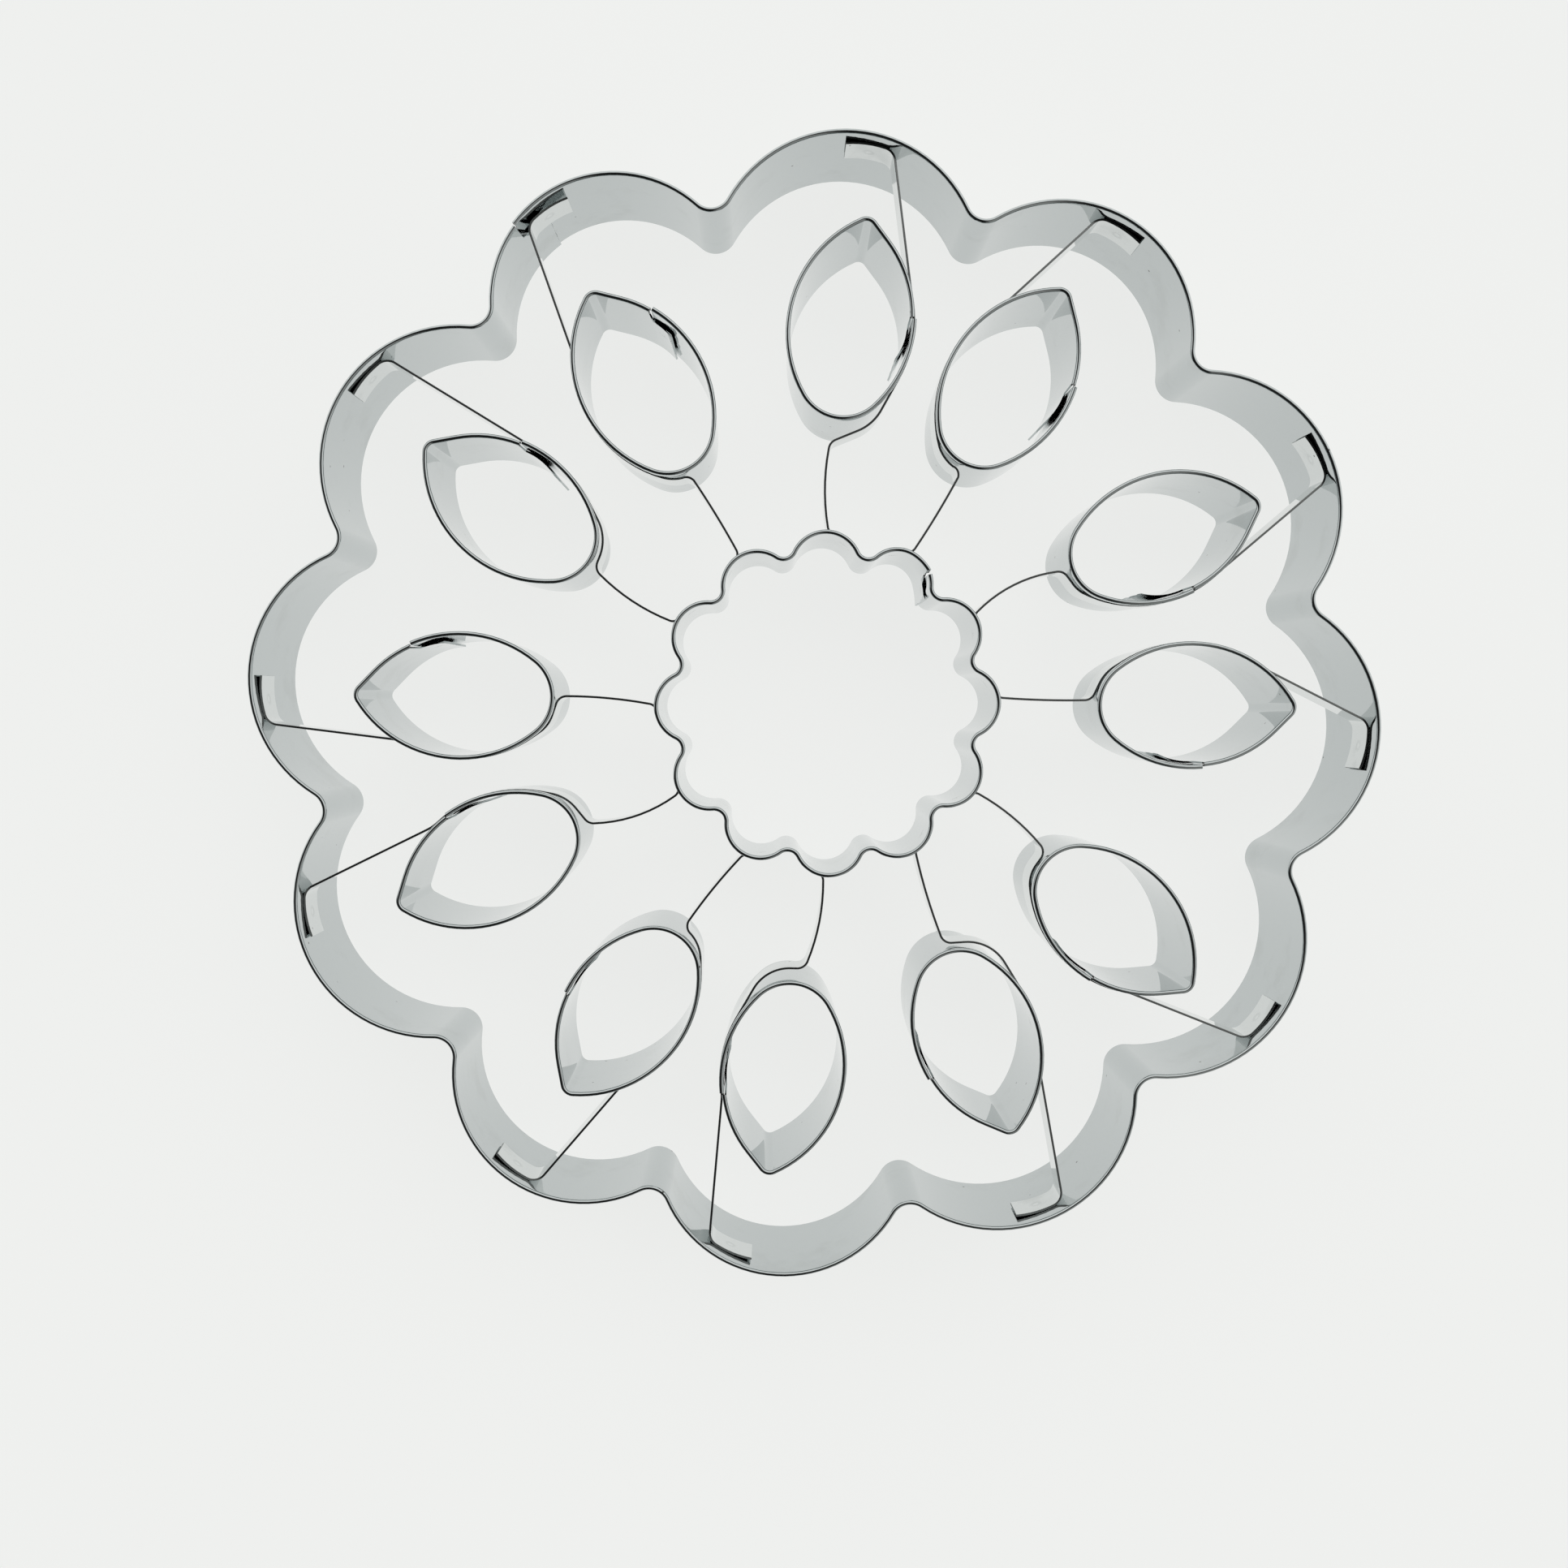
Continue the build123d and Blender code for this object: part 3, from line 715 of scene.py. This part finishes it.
def bright_steel(name, steel, finish, sizes):
    """Bright, mirror-like steel strip with faint waves, smears, specks, spot welds, and cut edges that are
    duller and carry painted gap shade.
    """
    material = bpy.data.materials.get(name)
    if material:
        return material
    material = bpy.data.materials.new(name)
    tree = NodeTree(material)
    place = tree.node("ShaderNodeTexCoord", None, output=3)
    along = tree.node("ShaderNodeUVMap", {"uv_map": "grain"})
    stretched = tree.node("ShaderNodeMapping", None, along, Scale=GRAIN_STRETCH)
    grain = tree.node("ShaderNodeTexNoise", {"noise_dimensions": "2D"}, Vector=stretched, Scale=1.0,
                      Detail=3.0)
    cloud = tree.node("ShaderNodeTexNoise", None, Vector=place, Scale=CLOUD_SCALE, Detail=4.0, Roughness=0.6)
    smear = cloud.above(0.52, 0.72)
    fine = tree.node("ShaderNodeTexNoise", None, Vector=place, Scale=FINE_SCALE, Detail=2.0)
    cell = tree.node("ShaderNodeTexVoronoi", None, Vector=place, Scale=SPECK_SCALE)
    lucky = tree.node("ShaderNodeSeparateColor", None, tree.node(
        "ShaderNodeTexVoronoi", None, Vector=place, Scale=SPECK_SCALE, output=1))
    speck = (1 - cell.above(0.035, 0.06)) * lucky.above(0.55, 0.57)
    sheared = tree.node("ShaderNodeAttribute", {"attribute_name": "sheared"}, output=2)
    from_weld = tree.node("ShaderNodeVectorMath", {"operation": "LENGTH"}, tree.node(
        "ShaderNodeUVMap", {"uv_map": "weld"}), output=1)
    gap = from_weld / sizes.weld_radius
    dimple = 1 - gap.above(0.0, 1.0)
    burn = (1 - gap.above(0.75, 1.5)) * gap.above(0.35, 0.8)
    colour = tree.mix(smear * 0.35 + burn * 0.3, rgba(steel), rgba(finish.smear))
    colour = tree.mix(speck, colour, rgba(finish.speck))
    # Cut ends and sheared edges go near-black: duller steel and painted shade of the gaps along them.
    colour = tree.mix(sheared, colour, rgba(finish.cut))
    rough = smear * 0.05 + fine * 0.03 + burn * 0.08 + sheared * 0.3 + (finish.roughness - 0.015)
    wave = tree.node("ShaderNodeTexNoise", None, Vector=place, Scale=WAVE_SCALE, Detail=1.0)
    bump = tree.node("ShaderNodeBump", None, Strength=0.25, Distance=WAVE_DEPTH, Height=wave)
    bump = tree.node("ShaderNodeBump", None, Strength=1.0, Distance=sizes.weld_depth, Height=1 - dimple,
                     Normal=bump)
    bump = tree.node("ShaderNodeBump", None, Strength=0.04, Distance=GRAIN_DEPTH, Height=grain, Normal=bump)
    surface = tree.node("ShaderNodeBsdfPrincipled", None, Base_Color=colour, Metallic=1.0, Roughness=rough,
                        Normal=bump)
    tree.node("ShaderNodeOutputMaterial", None, surface)
    return material


def floor_material(look):
    """Pale floor that keeps a faint shadow and shows its own colour in the steel."""
    material = bpy.data.materials.new("pale_floor")
    tree = NodeTree(material)
    noise = tree.node("ShaderNodeTexNoise", None, Vector=tree.node("ShaderNodeTexCoord", None, output=3),
                      Scale=6.0, Detail=3.0)
    darker = tuple(value * 0.985 for value in look.floor)
    colour = tree.mix(noise, rgba(look.floor), rgba(darker))
    lit = tree.node("ShaderNodeBsdfDiffuse", None, colour, 0.0)
    glow = tree.node("ShaderNodeEmission", None, colour, 1.0)
    camera = tree.node("ShaderNodeLightPath", None, output=0)
    glossy = tree.node("ShaderNodeLightPath", None, output=3)
    shown = camera.most(glossy) * FLOOR_GLOW
    surface = tree.node("ShaderNodeMixShader", None, shown, lit, glow)
    tree.node("ShaderNodeOutputMaterial", None, surface)
    return material


def build_stage(look):
    """Floor, soft light all round with a darker patch high up, and the camera."""
    scene = bpy.context.scene
    bed = bmesh.new()
    bmesh.ops.create_grid(bed, x_segments=1, y_segments=1, size=FLOOR_HALF)
    bmesh.ops.translate(bed, vec=(0, 0, -FLOOR_DROP), verts=bed.verts)
    mesh = bpy.data.meshes.new("floor")
    bed.to_mesh(mesh)
    bed.free()
    mesh.materials.append(floor_material(look))
    floor = bpy.data.objects.new("floor", mesh)
    scene.collection.objects.link(floor)

    world = bpy.data.worlds.new("studio")
    scene.world = world
    tree = NodeTree(world)
    way = tree.node("ShaderNodeTexCoord", None, output=0)
    dark_way = Vector((*away((0, 0), DARK_BEARING, cos(DARK_HEIGHT)), sin(DARK_HEIGHT)))
    near = tree.node("ShaderNodeVectorMath", {"operation": "DOT_PRODUCT"}, way, tuple(dark_way), output=1)
    east = tree.node("ShaderNodeVectorMath", {"operation": "DOT_PRODUCT"}, way, (1.0, 0.0, 0.0), output=1)
    room = tree.mix(east.above(0.05, 0.42), DARK, DIM)
    colour = tree.mix(near.above(cos(DARK_OUTSIDE), cos(DARK_INSIDE)), BRIGHT, room)
    seen = tree.node("ShaderNodeLightPath", None, output=0)
    shine = tree.node("ShaderNodeBackground", None, tree.mix(seen, colour, BACKDROP), look.sky)
    tree.node("ShaderNodeOutputWorld", None, shine)

    lens = bpy.data.cameras.new("camera")
    lens.sensor_fit = "HORIZONTAL"
    lens.sensor_width = 36.0
    lens.lens = look.lens
    lens.clip_start = 0.01
    camera = bpy.data.objects.new("camera", lens)
    seen = (Matrix.Rotation(look.roll, 3, "Z") @ Matrix.Rotation(look.tilt_x, 3, "X")
            @ Matrix.Rotation(look.tilt_y, 3, "Y")).transposed()
    camera.matrix_world = Matrix.Translation(look.eye) @ seen.to_4x4()
    scene.collection.objects.link(camera)
    scene.camera = camera
    scene.view_settings.view_transform = "Standard"


def band_steel(context):
    """Steel of the rimmed bands and petals."""
    finish = context.scene.cutter_finish
    return bright_steel("bright_steel", finish.steel, finish, context.scene.cutter_sizes)


def strut_steel(context):
    """Steel of the narrow struts, a little brighter."""
    finish = context.scene.cutter_finish
    return bright_steel("strut_steel", finish.strut_steel, finish, context.scene.cutter_sizes)


class CUTTER_OT_outer_band(Operator):
    """Bends the outer band into twelve lobes, with its rim folded over and its seam lapped"""

    bl_idname = "cutter.outer_band"
    bl_label = "Outer band"

    def execute(self, context):
        sizes = context.scene.cutter_sizes
        section = wall_section(sizes)
        lobes = lobe_bends(sizes)[0]
        last = lobes[-1]
        lapped = last._replace(radius=last.radius - sizes.sheet - sizes.lap_gap)
        seam = LOBE_BEARINGS[-1] + BAND_SEAM_ANGLE
        end = turned(lapped, seam, -sizes.seam_gap)
        strip = Strip(section, last, seam, sizes.ring_step)
        strip.follow(lobed_path([last] + lobes[:-1] + [lapped], sizes.notch_radius), seam, end)
        # A strut's tab is welded over this tongue and holds it down
        finish_tongue(strip, sizes, lapped, end, sizes.band_tongue, sizes.band_tongue_drop, 0.0)
        strip.weld([strut_welds(sizes, number)[0] for number in range(COUNT)])
        strip.piece("outer_band_strip", "outer_band", band_steel(context))
        return {"FINISHED"}


def finish_tongue(strip, sizes, bend, bearing, length, drop, spring):
    """Runs the strip's end on as a welded tongue without a rim, set back by a slanting cut."""
    start = strip.run
    base = sizes.height - sizes.rim_height
    bend = curl_bend(bend, bearing, 1 / (1 + 2 * spring * bend.radius / length ** 2))
    cut = turned(bend, bearing, sizes.cut_run)
    strip.drop_rim()
    strip.follow([bend], bearing, cut)
    strip.follow([bend], cut, turned(bend, bearing, length))
    strip.slant(start, base, sizes.height - drop, sizes.cut_run)
    strip.tear(sizes.tear)
    strip.weld([Vector((*away(bend, turned(bend, bearing, length / 2), bend.radius), sizes.height / 2))])


class CUTTER_OT_petals(Operator):
    """Bends the twelve pointed petals, each with its own folded rim and lapped seam"""

    bl_idname = "cutter.petals"
    bl_label = "Petals"

    def execute(self, context):
        sizes = context.scene.cutter_sizes
        section = wall_section(sizes)
        steel = band_steel(context)
        for number in range(COUNT):
            petal = petal_bends(sizes, number)
            lapped = petal.seam_flank._replace(radius=petal.seam_flank.radius - sizes.sheet - sizes.lap_gap)
            seam = petal.aim + 90 - PETAL_SEAM_ANGLES[number]
            finish = turned(lapped, seam, -sizes.seam_gap)
            strip = Strip(section, petal.seam_flank, seam, sizes.ring_step)
            strip.follow([*petal[1:], lapped], seam, finish)
            curl = curl_bend(lapped, finish, PETAL_CURL_SHARES[number])
            length = sizes.petal_tongue * PETAL_TONGUE_SHARES[number]
            finish_tongue(strip, sizes, curl, finish, length, sizes.petal_tongue_drop, sizes.tongue_spring)
            strip.weld([strut_welds(sizes, number)[1]])
            strip.piece(f"petal_strip_{number + 1:02d}", f"petal_{number + 1:02d}", steel)
        return {"FINISHED"}


class CUTTER_OT_centre_band(Operator):
    """Bends the scalloped centre band, lapped at one scallop"""

    bl_idname = "cutter.centre_band"
    bl_label = "Centre band"

    def execute(self, context):
        sizes = context.scene.cutter_sizes
        section = wall_section(sizes)
        scallops, wide, bulge = scallop_bends(sizes)
        others = [scallops[(CENTRE_SEAM_SCALLOP + step) % COUNT] for step in range(1, COUNT)]
        start = STEP * CENTRE_SEAM_SCALLOP + SCALLOP_TURN + CENTRE_SEAM_ANGLE
        over = away(wide, start, wide.radius)
        end = turned(bulge, degrees(atan2(over[0] - bulge.x, over[1] - bulge.y)), -sizes.seam_gap)
        strip = Strip(section, wide, start, sizes.ring_step)
        strip.follow(lobed_path([wide] + others + [bulge], sizes.scallop_notch_radius), start, end)
        curl = curl_bend(bulge, end, CENTRE_CURL_SHARE)
        rim_end = strip.run
        finish_tongue(strip, sizes, curl, end, sizes.centre_tongue, sizes.centre_tongue_drop,
                      sizes.tongue_spring)
        strip.weld([strut_welds(sizes, number)[2] for number in range(COUNT)])
        strip.flare(away((0, 0), end, sizes.flare), rim_end, sizes.flare_run, sizes.height)
        strip.piece("centre_band_strip", "centre_band", band_steel(context))
        return {"FINISHED"}


class CUTTER_OT_struts(Operator):
    """Bends the twelve struts that hold the petals and the centre band in the outer band"""

    bl_idname = "cutter.struts"
    bl_label = "Struts"

    def execute(self, context):
        sizes = context.scene.cutter_sizes
        section = strut_section(sizes)
        steel = strut_steel(context)
        for number in range(COUNT):
            path, first, last = strut_bends(sizes, number)
            strip = Strip(section, path[0], first, sizes.ring_step)
            strip.follow(path, first, last)
            strip.weld(strut_welds(sizes, number))
            strip.piece(f"strut_strip_{number + 1:02d}", f"strut_{number + 1:02d}", steel)
        return {"FINISHED"}


class CUTTER_OT_stage(Operator):
    """Lays the floor, sets the light and places the camera"""

    bl_idname = "cutter.stage"
    bl_label = "Stage"

    def execute(self, context):
        build_stage(context.scene.cutter_stage)
        return {"FINISHED"}


class CUTTER_PT_panel(Panel):
    """Sizes, finish and building steps of the cutter"""

    bl_label = "Flower cookie cutter"
    bl_idname = "CUTTER_PT_panel"
    bl_space_type = "VIEW_3D"
    bl_region_type = "UI"
    bl_category = "Cutter"

    def draw(self, context):
        for operator in OPERATORS:
            self.layout.operator(operator.bl_idname)
        for group in (context.scene.cutter_sizes, context.scene.cutter_finish, context.scene.cutter_stage):
            box = self.layout.box()
            for name in group.__annotations__:
                box.prop(group, name)


OPERATORS = (CUTTER_OT_outer_band, CUTTER_OT_petals, CUTTER_OT_centre_band, CUTTER_OT_struts, CUTTER_OT_stage)
CLASSES = (CutterSizes, CutterFinish, StageLook, *OPERATORS, CUTTER_PT_panel)


def register():
    for cls in CLASSES:
        bpy.utils.register_class(cls)
    bpy.types.Scene.cutter_sizes = PointerProperty(type=CutterSizes)
    bpy.types.Scene.cutter_finish = PointerProperty(type=CutterFinish)
    bpy.types.Scene.cutter_stage = PointerProperty(type=StageLook)


def unregister():
    del bpy.types.Scene.cutter_stage
    del bpy.types.Scene.cutter_finish
    del bpy.types.Scene.cutter_sizes
    for cls in reversed(CLASSES):
        bpy.utils.unregister_class(cls)


def main():
    register()
    bpy.ops.cutter.outer_band()
    bpy.ops.cutter.petals()
    bpy.ops.cutter.centre_band()
    bpy.ops.cutter.struts()
    bpy.ops.cutter.stage()


if __name__ == "__main__":
    main()
